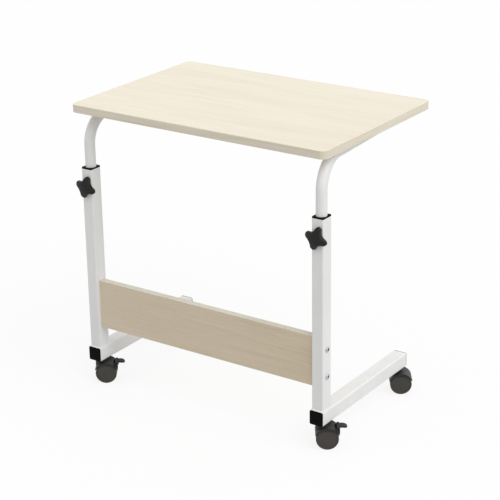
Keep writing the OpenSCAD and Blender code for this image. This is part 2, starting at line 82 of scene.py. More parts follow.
def stretched(material, scale):
    coords = addNode(material, "ShaderNodeTexCoord", {})
    values = {"Vector": coords.outputs["Object"], "Scale": scale}
    return addNode(material, "ShaderNodeMapping", values).outputs["Vector"]


def noise(material, scale, detail, roughness, distortion=0.0):
    values = {"Vector": stretched(material, scale), "Scale": 1.0, "Detail": detail,
              "Roughness": roughness, "Distortion": distortion}
    return addNode(material, "ShaderNodeTexNoise", values).outputs[0]


def remap(owner, value, source, target):
    values = {"Value": value, "From Min": source[0], "From Max": source[1],
              "To Min": target[0], "To Max": target[1]}
    return addNode(owner, "ShaderNodeMapRange", values).outputs[0]


def combine(owner, first, second, way):
    return addNode(owner, "ShaderNodeMath", {0: first, 1: second}, operation=way).outputs[0]


def ramp(material, factor, places, colours):
    node = addNode(material, "ShaderNodeValToRGB", {"Fac": factor})
    band = node.color_ramp
    while len(band.elements) < len(places):
        band.elements.new(1.0)
    for element, place, colour in zip(band.elements, places, colours):
        element.position = place
        element.color = (*colour, 1.0)
    return node.outputs["Color"]


def blend(material, factor, first, second, mode="MIX"):
    # a mix of colours takes them in sockets 6 and 7 and gives its result in socket 2
    values = {0: factor, 6: first, 7: second}
    node = addNode(material, "ShaderNodeMix", values, data_type="RGBA", blend_type=mode)
    return node.outputs[2]


def bump(material, height, strength, distance):
    values = {"Height": height, "Strength": strength, "Distance": distance}
    return addNode(material, "ShaderNodeBump", values).outputs["Normal"]


def pointiness(material):
    # about 0.5 on a flat face, more on an edge and less in a hollow
    return addNode(material, "ShaderNodeNewGeometry", {}).outputs["Pointiness"]


# maple print on board: long streaks along X, wider figure and short dark flecks
mapleLook = {
    "top": {"light": (0.905, 0.845, 0.70), "mid": (0.875, 0.80, 0.645),
            "dark": (0.825, 0.74, 0.575)},
    # the panel's maple is darker than the top's: partly its own tone, partly painted shade from the
    # tabletop above it
    "panel": {"light": (0.76, 0.655, 0.505), "mid": (0.718, 0.608, 0.45),
              "dark": (0.637, 0.52, 0.363)},
    "band": {"light": (0.85, 0.79, 0.667), "mid": (0.803, 0.734, 0.597),
             "dark": (0.718, 0.638, 0.487)},
    "panelBand": {"light": (0.78, 0.755, 0.67), "mid": (0.74, 0.71, 0.60),
                  "dark": (0.665, 0.615, 0.49)},
    "boardGrain": {"streaks": (5.0, 160.0, 160.0), "figure": (1.6, 13.0, 13.0),
                   "flecks": (70.0, 1500.0, 1500.0)},
    "bandGrain": {"streaks": (6.0, 6.0, 420.0), "figure": (3.0, 3.0, 60.0),
                  "flecks": (90.0, 90.0, 1800.0)},
    "streakNoise": {"detail": 6.0, "roughness": 0.62, "distortion": 0.4},
    "figureNoise": {"detail": 3.0, "roughness": 0.5, "distortion": 1.1},
    "fleckNoise": {"detail": 1.0, "roughness": 0.4},
    "figureShare": 0.45,
    "shadePlaces": (0.36, 0.5, 0.68),
    "fleckRange": (0.62, 0.74),
    "fleckDepth": 0.22,
    "grainStrength": 0.12,
    "grainDepth": 0.00012,
    "glossRange": (0.3, 0.7),
    "roughness": (0.36, 0.5),
    "coat": {"Coat Weight": 0.04, "Coat Roughness": 0.35},
}


def mapleMaterial(name, colours, grain):
    look = mapleLook
    material, shader = startMaterial(name, look["coat"])
    streaks = noise(material, grain["streaks"], **look["streakNoise"])
    figure = noise(material, grain["figure"], **look["figureNoise"])
    flecks = noise(material, grain["flecks"], **look["fleckNoise"])
    pattern = blend(material, look["figureShare"], streaks, figure)
    shades = [colours[shade] for shade in ("light", "mid", "dark")]
    colour = ramp(material, pattern, look["shadePlaces"], shades)
    fleckMask = remap(material, flecks, look["fleckRange"], (0.0, look["fleckDepth"]))
    setSockets(material, shader, {
        "Base Color": blend(material, fleckMask, colour, (*colours["dark"], 1.0), "MULTIPLY"),
        "Roughness": remap(material, streaks, look["glossRange"], look["roughness"]),
        "Normal": bump(material, streaks, look["grainStrength"], look["grainDepth"]),
    })
    return material


# white powder coat: orange peel, a little cloudiness and a few duller rubbed places
powderLook = {
    "colour": (0.885, 0.885, 0.875),
    "cloudColour": (0.855, 0.857, 0.85),
    "cloudPlaces": (0.38, 0.56),
    "cloud": {"scale": (14.0, 14.0, 5.0), "detail": 4.0, "roughness": 0.55},
    "rubbed": {"scale": (60.0, 60.0, 22.0), "detail": 5.0, "roughness": 0.6},
    "rubbedRange": (0.35, 0.7),
    "roughness": (0.30, 0.46),
    "peel": {"scale": (900.0, 900.0, 900.0), "detail": 2.0, "roughness": 0.45},
    "peelStrength": 0.25,
    "peelDepth": 0.00009,
    "specular": 0.45,
}


def powderMaterial():
    look = powderLook
    material, shader = startMaterial("white_powder_coat", {"Specular IOR Level": look["specular"]})
    cloud = noise(material, **look["cloud"])
    rubbed = noise(material, **look["rubbed"])
    peel = noise(material, **look["peel"])
    shades = (look["cloudColour"], look["colour"])
    setSockets(material, shader, {
        "Base Color": ramp(material, cloud, look["cloudPlaces"], shades),
        "Roughness": remap(material, rubbed, look["rubbedRange"], look["roughness"]),
        "Normal": bump(material, peel, look["peelStrength"], look["peelDepth"]),
    })
    return material


# moulded plastics: spark-eroded grain, faint flow marks and paler rubbed edges
plasticLook = {
    "black": {"colour": (0.0016, 0.0016, 0.0016), "rubbed": (0.012, 0.012, 0.0117),
              "roughness": (0.5, 0.64), "specular": 0.055},
    "knob": {"colour": (0.0115, 0.0113, 0.0108), "rubbed": (0.038, 0.037, 0.0355),
             "roughness": (0.36, 0.5), "specular": 0.21},
    "hood": {"colour": (0.016, 0.0161, 0.0156), "rubbed": (0.05, 0.0492, 0.0472),
             "roughness": (0.38, 0.54), "specular": 0.27},
    "wheel": {"colour": (0.061, 0.0555, 0.049), "rubbed": (0.103, 0.095, 0.085),
              "roughness": (0.44, 0.6), "specular": 0.23},
    "flow": {"scale": (55.0, 55.0, 55.0), "detail": 4.0, "roughness": 0.6},
    "flowRange": (0.35, 0.7),
    "flowShare": 0.22,
    "glossRange": (0.3, 0.7),
    "scuff": {"scale": (240.0, 240.0, 240.0), "detail": 4.0, "roughness": 0.65},
    "scuffRange": (0.46, 0.72),
    "scuffWear": (0.1, 0.55),
    "edgeRange": (0.52, 0.62),
    "edgeWear": 0.8,
    "grain": {"scale": (2600.0, 2600.0, 2600.0), "detail": 2.0, "roughness": 0.5},
    "grainStrength": 0.3,
    "grainDepth": 0.00005,
}


def plasticMaterial(name, finish):
    look = plasticLook
    material, shader = startMaterial(name, {"Specular IOR Level": finish["specular"]})
    flow = noise(material, **look["flow"])
    scuff = noise(material, **look["scuff"])
    grain = noise(material, **look["grain"])
    fresh = (*finish["colour"], 1.0)
    rubbed = (*finish["rubbed"], 1.0)
    edgeMask = remap(material, pointiness(material), look["edgeRange"], (0.0, look["edgeWear"]))
    scuffMask = remap(material, scuff, look["scuffRange"], look["scuffWear"])
    worn = combine(material, edgeMask, scuffMask, "MULTIPLY")
    flowMask = remap(material, flow, look["flowRange"], (0.0, look["flowShare"]))
    shade = blend(material, flowMask, fresh, rubbed)
    setSockets(material, shader, {
        "Base Color": blend(material, worn, shade, rubbed),
        "Roughness": remap(material, flow, look["glossRange"], finish["roughness"]),
        "Normal": bump(material, grain, look["grainStrength"], look["grainDepth"]),
    })
    return material


# bare steel, zinc plated or blackened: fine turning marks, dull spots and painted shade that darkens
# the hollows
steelLook = {
    "zinc": {"bright": (0.56, 0.57, 0.59), "dull": (0.42, 0.42, 0.415), "roughness": (0.34, 0.5)},
    "blackened": {"bright": (0.03, 0.03, 0.032), "dull": (0.018, 0.018, 0.018),
                  "roughness": (0.4, 0.55)},
    "spots": {"scale": (180.0, 180.0, 180.0), "detail": 4.0, "roughness": 0.6},
    "spotPlaces": (0.4, 0.68),
    "glossRange": (0.35, 0.7),
    # the near-black colour that hollows, sockets and crevices are painted towards: painted shade
    "hollowShadeColour": (0.02, 0.02, 0.019),
    "hollowRange": (0.40, 0.485),
    "hollowShadeShare": 0.95,
    "turning": {"scale": (300.0, 300.0, 2200.0), "detail": 2.0, "roughness": 0.5},
    "turnStrength": 0.2,
    "turnDepth": 0.00003,
}


def steelMaterial(name, finish):
    look = steelLook
    material, shader = startMaterial(name, {"Metallic": 1.0})
    spots = noise(material, **look["spots"])
    turning = noise(material, **look["turning"])
    metal = ramp(material, spots, look["spotPlaces"], (finish["bright"], finish["dull"]))
    # painted shade: the less pointy the surface, the nearer its colour is painted to near black
    paintedHollowShade = remap(material, pointiness(material), look["hollowRange"], (look["hollowShadeShare"], 0.0))
    setSockets(material, shader, {
        "Base Color": blend(material, paintedHollowShade, metal, (*look["hollowShadeColour"], 1.0)),
        "Roughness": remap(material, spots, look["glossRange"], finish["roughness"]),
        "Normal": bump(material, turning, look["turnStrength"], look["turnDepth"]),
    })
    return material


mapleTop = mapleMaterial("maple_tabletop", mapleLook["top"], mapleLook["boardGrain"])
# the panel's darker maple holds painted shade from the tabletop as well as its own tone
panelMapleToneAndShade = mapleMaterial("maple_panel", mapleLook["panel"], mapleLook["boardGrain"])
mapleBand = mapleMaterial("maple_edge_band", mapleLook["band"], mapleLook["bandGrain"])
maplePanelBand = mapleMaterial("maple_panel_band", mapleLook["panelBand"], mapleLook["bandGrain"])
whiteCoat = powderMaterial()
blackPlastic = plasticMaterial("black_plug_plastic", plasticLook["black"])
knobPlastic = plasticMaterial("black_knob_plastic", plasticLook["knob"])
hoodPlastic = plasticMaterial("charcoal_hood_plastic", plasticLook["hood"])
wheelPlastic = plasticMaterial("warm_grey_wheel_plastic", plasticLook["wheel"])
zincPlate = steelMaterial("zinc_plate", steelLook["zinc"])
blackSteel = steelMaterial("blackened_steel", steelLook["blackened"])
print("materials made")


# mesh helpers, with lengths in metres and angles in degrees
meshLook = {"merge": 1e-6, "cadMerge": 2e-6, "nearby": 1e-5, "sharpAngle": 40, "squareAngle": 60,
            "smoothing": 0.5}
upAxis = (0.0, 0.0, 1.0)
sideAxis = (0.0, 1.0, 0.0)


def meshFrom(name, bm):
    mesh = bpy.data.meshes.new(name)
    bm.to_mesh(mesh)
    bm.free()
    return mesh


def inScene(name, data):
    holder = bpy.data.objects.new(name, data)
    bpy.context.scene.collection.objects.link(holder)
    return holder


def finishPiece(name, bm, material, body, slot, *stands):
    bmesh.ops.remove_doubles(bm, verts=bm.verts, dist=meshLook["merge"])
    bmesh.ops.recalc_face_normals(bm, faces=bm.faces)
    mesh = meshFrom(name, bm)
    mesh.materials.append(material)
    mesh.shade_smooth()
    mesh.set_sharp_from_angle(angle=math.radians(meshLook["sharpAngle"]))
    piece = inScene(name, mesh)
    weighted = piece.modifiers.new("flat_face_normals", "WEIGHTED_NORMAL")
    weighted.keep_sharp = True
    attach(piece, body)
    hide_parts(*stands)


def dress(node, material):
    piece = cadNodes[node]
    if not piece.material_slots:
        piece.data.materials.append(material)
    for place in piece.material_slots:
        place.material = material


def vertsIn(geom):
    return [item for item in geom if isinstance(item, bmesh.types.BMVert)]


def edgesIn(geom):
    return [item for item in geom if isinstance(item, bmesh.types.BMEdge)]


def roundedSheet(width, depth, radius, steps):
    bm = bmesh.new()
    bmesh.ops.create_grid(bm, x_segments=1, y_segments=1, size=0.5)
    bmesh.ops.scale(bm, vec=(width, depth, 1.0), verts=bm.verts)
    bmesh.ops.bevel(bm, geom=bm.verts[:], offset=radius, offset_type="OFFSET", segments=steps,
                    profile=0.5, affect="VERTICES", material=-1)
    return bm


def boxTube(width, depth, radius, steps, wall, length):
    bm = roundedSheet(width, depth, radius, steps)
    bmesh.ops.inset_region(bm, faces=bm.faces[:], thickness=wall, use_even_offset=True,
                           use_boundary=True)
    # the face inside the wall has the most corners
    inner = max(bm.faces, key=lambda face: len(face.verts))
    bmesh.ops.delete(bm, geom=[inner], context="FACES")
    raised = bmesh.ops.extrude_face_region(bm, geom=bm.faces[:])
    bmesh.ops.translate(bm, vec=(0.0, 0.0, length), verts=vertsIn(raised["geom"]))
    return bm


def softEdges(bm, edges, width, steps):
    bmesh.ops.bevel(bm, geom=edges, offset=width, offset_type="OFFSET", segments=steps, profile=0.5,
                    affect="EDGES", material=-1, clamp_overlap=True)


def squareEdges(bm):
    limit = math.radians(meshLook["squareAngle"])
    return [edge for edge in bm.edges if edge.is_manifold and edge.calc_face_angle() > limit]


def mergedCopy(node):
    bm = bmesh.new()
    bm.from_mesh(cadNodes[node].data)
    bmesh.ops.remove_doubles(bm, verts=bm.verts, dist=meshLook["cadMerge"])
    return bm


def mouldedCopy(node, look):
    # the CAD form under a fine new skin, smoothed until its edges turn as soft as moulded ones
    mesh = meshFrom(node + "_mould", mergedCopy(node))
    mould = inScene(node + "_mould", mesh)
    fine = mould.modifiers.new("fine_skin", "REMESH")
    fine.mode = "VOXEL"
    fine.voxel_size = look["skin"]
    soft = mould.modifiers.new("soft_edges", "SMOOTH")
    soft.factor = meshLook["smoothing"]
    soft.iterations = look["passes"]
    fewer = mould.modifiers.new("fewer_faces", "DECIMATE")
    fewer.ratio = look["keep"]
    shaped = mould.evaluated_get(bpy.context.evaluated_depsgraph_get())
    bm = bmesh.new()
    bm.from_mesh(shaped.to_mesh())
    bpy.data.objects.remove(mould)
    bpy.data.meshes.remove(mesh)
    return bm


def separateBoxes(node):
    # lowest and highest corner of each solid in a node that groups several
    bm = mergedCopy(node)
    boxes = []
    left = set(bm.verts)
    while left:
        island = [left.pop()]
        for vert in island:
            near = {edge.other_vert(vert) for edge in vert.link_edges} & left
            left -= near
            island += near
        places = [vert.co for vert in island]
        boxes.append((Vector(map(min, zip(*places))), Vector(map(max, zip(*places)))))
    bm.free()
    return sorted(boxes, key=lambda box: box[0][:])  # the same order in each run


# a turned profile is drawn vertex by vertex, as straight runs and arcs in the XZ plane
def lineTo(bm, vert, place):
    drawn = bmesh.ops.extrude_vert_indiv(bm, verts=[vert])["verts"][0]
    drawn.co = place
    return drawn


def arcTo(bm, vert, centre, axis, angle, steps):
    swept = bmesh.ops.spin(bm, geom=[vert], cent=centre, axis=axis, angle=angle, steps=steps)
    return vertsIn(swept["geom_last"])[0]


def fullTurn(bm, steps):
    bmesh.ops.spin(bm, geom=bm.verts[:] + bm.edges[:], cent=(0.0, 0.0, 0.0), axis=upAxis,
                   angle=2 * math.pi, steps=steps, use_merge=True)
    bmesh.ops.remove_doubles(bm, verts=bm.verts, dist=meshLook["merge"])


def axisTurn(axis):
    return Vector(upAxis).rotation_difference(Vector(axis)).to_matrix().to_4x4()


# tabletop edge band: a ring with a softened arris above and below
bandLook = {"thickness": 0.001, "cornerRadius": 0.014, "cornerSteps": 14, "arris": 0.0007,
            "arrisSteps": 3}


def onRim(edge, size):
    # the outer wall's vertices lie outside the middle of the band's thickness
    corner = bandLook["cornerRadius"]
    for vert in edge.verts:
        dx = max(abs(vert.co.x) - (size.x / 2 - corner), 0.0)
        dy = max(abs(vert.co.y) - (size.y / 2 - corner), 0.0)
        if math.hypot(dx, dy) < corner - bandLook["thickness"] / 2:
            return False
    return True


def edgeBand():
    look = bandLook
    low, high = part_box("edge_band")
    size = high - low
    bm = boxTube(size.x, size.y, look["cornerRadius"], look["cornerSteps"], look["thickness"], size.z)
    rim = [edge for edge in squareEdges(bm) if onRim(edge, size)]
    softEdges(bm, rim, look["arris"], look["arrisSteps"])
    bmesh.ops.translate(bm, vec=(0.0, 0.0, low.z), verts=bm.verts)
    finishPiece("tabletop_edge_band", bm, mapleBand, "lift", "edge_band", "edge_band")


# panel bands: thin strips on the panel's upper and lower edges
stripLook = {"thickness": 0.0008, "arris": 0.0004, "arrisSteps": 2}


def onStripEdge(edge, low, high):
    # the long edges on the outer face of either strip
    first, last = (vert.co for vert in edge.verts)
    along = abs(first.x - last.x) > (high.x - low.x) / 2
    below = max(first.z, last.z) < low.z + meshLook["nearby"]
    above = min(first.z, last.z) > high.z - meshLook["nearby"]
    return along and (below or above)


def panelBands():
    look = stripLook
    low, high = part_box("panel_bands")
    size = high - low
    middle = (low + high) / 2
    bm = bmesh.new()
    for end in (-1, 1):
        made = bmesh.ops.create_cube(bm, size=1.0)["verts"]
        height = middle.z + end * (size.z - look["thickness"]) / 2
        bmesh.ops.scale(bm, vec=(size.x, size.y, look["thickness"]), verts=made)
        bmesh.ops.translate(bm, vec=(middle.x, middle.y, height), verts=made)
    outer = [edge for edge in bm.edges if onStripEdge(edge, low, high)]
    softEdges(bm, outer, look["arris"], look["arrisSteps"])
    finishPiece("panel_edge_bands", bm, maplePanelBand, "frame", "edge_band", "panel_bands")


dress("tabletop", mapleTop)
dress("panel", panelMapleToneAndShade)
edgeBand()
panelBands()
print("boards dressed")

# columns and feet: box tubes with rounded corners, and the weld between them
tubeLook = {"columnRadius": 0.0025, "columnWall": 0.0015, "footRadius": 0.003, "footWall": 0.0015,
            "cornerSteps": 8, "endArris": 0.0003, "arrisSteps": 2, "weldLeg": 0.0014,
            "weldBulge": 0.75}


def cutTube(width, depth, radius, wall, length):
    look = tubeLook
    bm = boxTube(width, depth, radius, look["cornerSteps"], wall, length)
    softEdges(bm, squareEdges(bm), look["endArris"], look["arrisSteps"])
    return bm


def column(side):
    low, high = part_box(side + "_column")
    size = high - low
    middle = (low + high) / 2
    bm = cutTube(size.x, size.y, tubeLook["columnRadius"], tubeLook["columnWall"], size.z)
    bmesh.ops.translate(bm, vec=(middle.x, middle.y, low.z), verts=bm.verts)
    finishPiece(side + "_column_tube", bm, whiteCoat, "frame", "white_steel", side + "_column")


def foot(side):
    low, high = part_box(side + "_foot")
    size = high - low
    middle = (low + high) / 2
    bm = cutTube(size.x, size.z, tubeLook["footRadius"], tubeLook["footWall"], size.y)
    lay = (Matrix.Translation((middle.x, low.y, middle.z))
           @ Matrix.Rotation(math.radians(-90), 4, "X"))
    bmesh.ops.transform(bm, matrix=lay, verts=bm.verts)
    finishPiece(side + "_foot_tube", bm, whiteCoat, "frame", "white_steel", side + "_foot")


def weld(side):
    low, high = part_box(side + "_column")
    footLow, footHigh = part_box(side + "_foot")
    size = high - low
    middle = (low + high) / 2
    leg = tubeLook["weldLeg"]
    bulge = leg * tubeLook["weldBulge"]
    corner = tubeLook["footRadius"]
    bm = roundedSheet(size.x, size.y, tubeLook["columnRadius"], tubeLook["cornerSteps"])
    bmesh.ops.delete(bm, geom=bm.faces[:], context="FACES_ONLY")
    # the bead's section, from the column over the bulge to the foot, as (out, up)
    section = [(0.0, leg), (bulge, bulge), (leg, 0.0), (0.0, 0.0)]
    rings = [bm.edges[:]]
    while len(rings) < len(section):
        rings.append(edgesIn(bmesh.ops.extrude_edge_only(bm, edges=rings[-1])["geom"]))
    for ring, (out, rise) in zip(rings, section):
        verts = list({vert for edge in ring for vert in edge.verts})
        grow = (1 + 2 * out / size.x, 1 + 2 * out / size.y, 1.0)
        bmesh.ops.scale(bm, vec=grow, verts=verts)
        bmesh.ops.translate(bm, vec=(0.0, 0.0, rise), verts=verts)
    bmesh.ops.bridge_loops(bm, edges=rings[0] + rings[-1])
    # the bead's lower edge follows the foot's rounded shoulder
    flat = (footHigh.x - footLow.x) / 2 - corner
    for vert in bm.verts:
        over = min(max(abs(vert.co.x) - flat, 0.0), corner)
        if vert.co.z < leg / 2:
            vert.co.z -= corner - math.sqrt(corner ** 2 - over ** 2)
    bmesh.ops.translate(bm, vec=(middle.x, middle.y, low.z), verts=bm.verts)
    finishPiece(side + "_column_weld", bm, whiteCoat, "frame", "white_steel")


# lift tubes keep the CAD form, with the screw holes in the arm
def liftTube(side):
    bm = mergedCopy(side + "_lift_tube")
    finishPiece(side + "_bent_tube", bm, whiteCoat, "lift", "white_steel", side + "_lift_tube")


for side in sides:
    column(side)
    foot(side)
    weld(side)
    liftTube(side)
print("frame tubes made")

# plastic fittings keep the CAD form with moulded edges, and the plugs' faces swell a little
fittingLook = {"skin": 0.0004, "passes": 4, "keep": 0.25, "crown": 0.0006, "faceDepth": 0.0008}


def crownFace(bm, node, way):
    low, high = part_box(node)
    middle = (low + high) / 2
    half = (high - low) / 2
    for vert in bm.verts:
        across = (vert.co.x - middle.x) / half.x
        up = (vert.co.z - middle.z) / half.z
        if (vert.co.y - middle.y) * way > half.y - fittingLook["faceDepth"]:
            vert.co.y += way * fittingLook["crown"] * (1 - across ** 2) * (1 - up ** 2)


def fitting(name, node, body, faceWay=0):
    # faceWay is -1 for a plug that looks to the front, 1 to the rear and 0 for the other fittings
    bm = mouldedCopy(node, fittingLook)
    if faceWay:
        crownFace(bm, node, faceWay)
    finishPiece(name, bm, blackPlastic, body, "black_plastic", node)


for side in sides:
    fitting(side + "_tube_collar", side + "_collar", "frame")
    fitting(side + "_foot_front_plug", side + "_front_plug", "frame", -1)
    fitting(side + "_foot_rear_plug", side + "_rear_plug", "frame", 1)
    fitting(side + "_arm_cap", side + "_tube_cap", "lift")
    fitting(side + "_slide_glide", side + "_tube_glide", "lift")
print("plastic fittings made")

# clamp knobs: a star of four lobes with a domed face and a hollow back round the hub
knobLook = {"span": 0.048, "thickness": 0.011, "lobeRadius": 0.0063, "waistRadius": 0.0145,
            "domeRadius": 0.048, "turn": -17.0, "lobeSteps": 16, "hollowSteps": 10,
            "edge": 0.0019, "edgeSteps": 5, "shrink": (0.8, 0.62, 0.44, 0.26, 0.1),
            "coreDepth": 0.004, "coreShare": 0.76, "hubRadius": 0.008, "studRadius": 0.00405,
            "studGrip": 0.009}


def starOutline(bm):
    # each lobe's arc runs on into the arc of the hollow between two lobes
    look = knobLook
    lobe = look["lobeRadius"]
    tipAt = look["span"] / 2 - lobe
    neck = look["waistRadius"] - lobe
    hollowAt = (tipAt ** 2 - neck ** 2) / (math.sqrt(2) * tipAt - 2 * neck)
    side = hollowAt / math.sqrt(2)
    toward = math.atan2(side, side - tipAt)
    hollowAngle = math.pi / 2 - 2 * toward
    start = (tipAt + lobe * math.cos(toward), -lobe * math.sin(toward), 0.0)
    vert = bm.verts.new(start)
    for quarter in range(4):
        turn = Matrix.Rotation(quarter * math.pi / 2, 3, "Z")
        tip = turn @ Vector((tipAt, 0.0, 0.0))
        hollow = turn @ Vector((side, side, 0.0))
        vert = arcTo(bm, vert, tip, upAxis, 2 * toward, look["lobeSteps"])
        vert = arcTo(bm, vert, hollow, upAxis, hollowAngle, look["hollowSteps"])
    bmesh.ops.remove_doubles(bm, verts=bm.verts, dist=meshLook["merge"])
    return bm.edges[:]


def domeHeight(place):
    radius = knobLook["domeRadius"]
    return knobLook["thickness"] - radius + math.sqrt(radius ** 2 - place.x ** 2 - place.y ** 2)


def nextRing(bm, ring, shape):
    drawn = bmesh.ops.extrude_edge_only(bm, edges=ring)["geom"]
    for vert in vertsIn(drawn):
        vert.co = shape(vert.co.copy())
    return edgesIn(drawn)


def atHeight(place, height):
    return Vector((place.x, place.y, height))


def roundRing(place, radius, height):
    return atHeight(atHeight(place, 0.0).normalized() * radius, height)


def knob(side):
    look = knobLook
    depth = look["coreDepth"]
    hub = look["hubRadius"]
    stud = look["studRadius"]
    bm = bmesh.new()
    base = starOutline(bm)
    # up the side and in over the dome
    rim = nextRing(bm, base, lambda place: atHeight(place, domeHeight(place)))
    ring = rim
    share = 1.0
    for step in look["shrink"]:
        factor = step / share
        share = step
        ring = nextRing(bm, ring, lambda place: atHeight(place * factor, domeHeight(place * factor)))
    bmesh.ops.contextual_create(bm, geom=ring)
    # into the hollow back, round the hub and up the stud's bore
    ring = nextRing(bm, base, lambda place: atHeight(place * look["coreShare"], 0.0))
    ring = nextRing(bm, ring, lambda place: atHeight(place, depth))
    ring = nextRing(bm, ring, lambda place: roundRing(place, hub, depth))
    ring = nextRing(bm, ring, lambda place: roundRing(place, hub, 0.0))
    ring = nextRing(bm, ring, lambda place: roundRing(place, stud, 0.0))
    ring = nextRing(bm, ring, lambda place: roundRing(place, stud, look["studGrip"]))
    bmesh.ops.contextual_create(bm, geom=ring)
    softEdges(bm, rim, look["edge"], look["edgeSteps"])
    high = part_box(side + "_knob")[1]
    pivot = joints[side + "_knob_turn"]["pos_m"]
    place = (Matrix.Translation((pivot[0], high.y, pivot[2]))
             @ Matrix.Rotation(math.radians(90), 4, "X")
             @ Matrix.Rotation(math.radians(look["turn"]), 4, "Z"))
    bmesh.ops.transform(bm, matrix=place, verts=bm.verts)
    finishPiece(side + "_star_knob", bm, knobPlastic, side + "_clamp", "knob_plastic", side + "_knob")


for side in sides:
    knob(side)
print("knobs made")

# screws: domed heads with a hexagon socket, all turned from one profile
screwLook = {"headRadius": 0.006, "headHeight": 0.003, "rimHeight": 0.0011, "shankRadius": 0.003,
             "socketRadius": 0.0029, "socketDepth": 0.0024, "socketTip": 0.00288, "domeSteps": 7,
             "turnSteps": 48, "panelGrip": 0.010}


def hexSocket(bm):
    # the socket's round wall becomes a hexagon
    radius = screwLook["socketRadius"]
    for vert in bm.verts:
        if abs(math.hypot(vert.co.x, vert.co.y) - radius) < meshLook["nearby"]:
            angle = math.atan2(vert.co.y, vert.co.x) + 2 * math.pi
            sector = math.fmod(angle, math.pi / 3) - math.pi / 6
            factor = math.cos(math.pi / 6) / math.cos(sector)
            vert.co.x *= factor
            vert.co.y *= factor


def screwAt(bm, place, axis, length):
    # axis points from the shank to the head, and place is the top of the head
    look = screwLook
    head = look["headRadius"]
    shank = look["shankRadius"]
    socket = look["socketRadius"]
    underHead = -look["headHeight"]
    # the dome's arc runs from the rim to the socket's edge
    run = head - socket
    rise = look["headHeight"] - look["rimHeight"]
    dome = (run ** 2 + rise ** 2) / (2 * rise)
    angle = math.asin(run / dome)
    part = bmesh.new()
    vert = part.verts.new((0.0, 0.0, -length))
    vert = lineTo(part, vert, (shank, 0.0, -length))
    vert = lineTo(part, vert, (shank, 0.0, underHead))
    vert = lineTo(part, vert, (head, 0.0, underHead))
    vert = lineTo(part, vert, (head, 0.0, underHead + look["rimHeight"]))
    vert = arcTo(part, vert, (socket, 0.0, -dome), sideAxis, -angle, look["domeSteps"])
    vert = lineTo(part, vert, (socket, 0.0, -look["socketDepth"]))
    lineTo(part, vert, (0.0, 0.0, -look["socketTip"]))
    fullTurn(part, look["turnSteps"])
    hexSocket(part)
    turned = Matrix.Translation(place) @ axisTurn(axis)
    bmesh.ops.transform(part, matrix=turned, verts=part.verts)
    mesh = meshFrom("screw_part", part)
    bm.from_mesh(mesh)
    bpy.data.meshes.remove(mesh)


def panelScrews():
    low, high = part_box("panel_screws")
    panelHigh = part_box("panel")[1]
    middle = (low + high) / 2
    head = screwLook["headRadius"]
    length = high.x - panelHigh.x + screwLook["panelGrip"]
    bm = bmesh.new()
    for end, tip in ((-1, low.x), (1, high.x)):
        for height in (low.z + head, high.z - head):
            screwAt(bm, (tip, middle.y, height), (end, 0.0, 0.0), length)
    finishPiece("panel_bolt_set", bm, zincPlate, "frame", "zinc", "panel_screws")


def topScrews():
    bm = bmesh.new()
    for low, high in separateBoxes("top_screws"):
        middle = (low + high) / 2
        screwAt(bm, (middle.x, middle.y, low.z), (0.0, 0.0, -1.0), high.z - low.z)
    finishPiece("tabletop_bolt_set", bm, zincPlate, "lift", "zinc", "top_screws")


panelScrews()
topScrews()
print("screws made")

# castors: hoods keep the CAD form with moulded edges, wheels are turned
castorLook = {"skin": 0.0004, "passes": 5, "keep": 0.3, "turnSteps": 72,
              "rim": 0.0030, "rimLip": 0.0006, "lipFoot": 0.00072, "lipSteps": 3,
              "dish": 0.0009, "crown": 0.0007, "crownSteps": 8, "edge": 0.0024, "edgeSteps": 7,
              "innerEdge": 0.0008, "innerSteps": 3, "hub": 0.005, "bore": 0.00255,
              "boreStop": 0.0027, "core": 0.007}


def wheelProfile(bm, radius, inner, outer):
    # from the bore over the hollow inner side, round the tread and in over the dished face
    look = castorLook
    quarter = -math.pi / 2
    bore = look["bore"]
    hub = look["hub"]
    core = inner + look["core"]
    boreEnd = outer - look["boreStop"]
    rimInside = radius - look["rim"]
    innerEdge = look["innerEdge"]
    edge = look["edge"]
    lip = look["rimLip"]
    faceLow = outer - look["dish"]
    vert = bm.verts.new((0.0, 0.0, boreEnd))
    for across, along in ((bore, boreEnd), (bore, inner), (hub, inner), (hub, core),
                          (rimInside, core), (rimInside, inner), (radius - innerEdge, inner)):
        vert = lineTo(bm, vert, (across, 0.0, along))
    centre = (radius - innerEdge, 0.0, inner + innerEdge)
    vert = arcTo(bm, vert, centre, sideAxis, quarter, look["innerSteps"])
    vert = lineTo(bm, vert, (radius, 0.0, outer - edge))
    centre = (radius - edge, 0.0, outer - edge)
    vert = arcTo(bm, vert, centre, sideAxis, quarter, look["edgeSteps"])
    vert = lineTo(bm, vert, (rimInside, 0.0, outer))
    vert = arcTo(bm, vert, (rimInside, 0.0, outer - lip), sideAxis, quarter, look["lipSteps"])
    vert = lineTo(bm, vert, (rimInside - look["lipFoot"], 0.0, faceLow))
    # the face crowns a little towards the middle
    run = vert.co.x
    bow = (run ** 2 + look["crown"] ** 2) / (2 * look["crown"])
    centre = (0.0, 0.0, faceLow + look["crown"] - bow)
    arcTo(bm, vert, centre, sideAxis, -math.asin(run / bow), look["crownSteps"])


